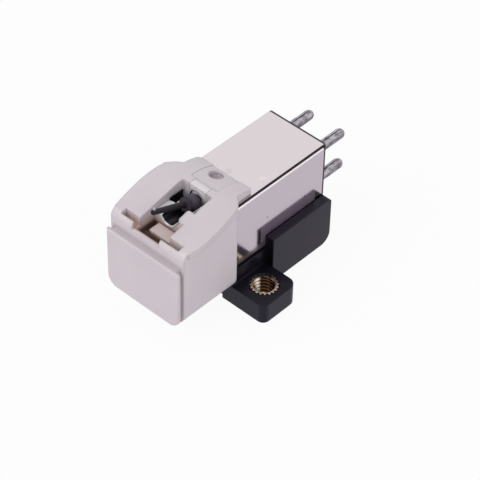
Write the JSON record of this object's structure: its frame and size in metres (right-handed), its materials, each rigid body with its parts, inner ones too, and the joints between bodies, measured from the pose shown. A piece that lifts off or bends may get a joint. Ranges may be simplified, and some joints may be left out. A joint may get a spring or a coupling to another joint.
{
  "type": "turntable stylus cartridge",
  "caption": "Moving magnet turntable cartridge lying on its mounting face: pale plug-on stylus holder, folded metal can, black base with threaded ears, rear terminal pins.",
  "frame": {"origin": "midway between the two threaded inserts, on the flat mounting face", "axes": "+Z to the record side, -Y to the stylus end, +Y to the terminal pins, +X across the ears"},
  "size_m": [0.0174, 0.0279, 0.0155],
  "materials": {
    "black_base": "satin",
    "insert_brass": "machined",
    "plated_sheet": "bright nickel plate",
    "black_frame": "satin",
    "soft_iron": "cut",
    "coil_former": "moulded",
    "coil_wire": "enamelled",
    "tinned_pin": "tinned",
    "pale_holder": "satin moulded",
    "pale_wedge": "satin moulded",
    "plated_sleeve": "bright",
    "damper_rubber": "moulded",
    "black_arm": "moulded",
    "magnet_alloy": "ground",
    "tip_shank": "ground"
  },
  "bodies": {
    "body": {"mounting_base": "black_base", "insert_right": "insert_brass", "insert_left": "insert_brass", "shield_can": "plated_sheet", "coil_frame": "black_frame", "terminal_block": "black_frame", "pin_left_lower": "tinned_pin", "pin_right_lower": "tinned_pin", "pin_left_upper": "tinned_pin", "pin_right_upper": "tinned_pin", "bobbin_right": "coil_former", "bobbin_left": "coil_former", "coil_right": "coil_wire", "coil_left": "coil_wire", "pole_right": "soft_iron", "pole_left": "soft_iron", "pole_yoke": "soft_iron"},
    "stylus_unit": {"stylus_holder": "pale_holder", "suspension_wedge": "pale_wedge", "suspension_sleeve": "plated_sleeve", "sleeve_carrier": "black_arm"},
    "suspension": {"damper_ring": "damper_rubber", "ring_washer": "pale_wedge"},
    "arm": {"cantilever": "black_arm", "magnet": "magnet_alloy", "stylus_tip": "tip_shank"}
  },
  "joints": [
    {"name": "stylus_slide", "type": "slide", "parent": "body", "child": "stylus_unit", "axis": [0, -1, 0], "range_m": [0, 0.008]},
    {"name": "arm_swing", "type": "hinge", "parent": "stylus_unit", "child": "suspension", "pos_m": [0, -0.00265, 0.01243], "axis": [0, 0, 1], "range_deg": [-2.5, 2.5], "stiffness_Nm_per_rad": 0.0037},
    {"name": "arm_lift", "type": "hinge", "parent": "suspension", "child": "arm", "pos_m": [0, -0.00265, 0.01243], "axis": [1, 0, 0], "range_deg": [-2.5, 2.5], "stiffness_Nm_per_rad": 0.0037}
  ]
}
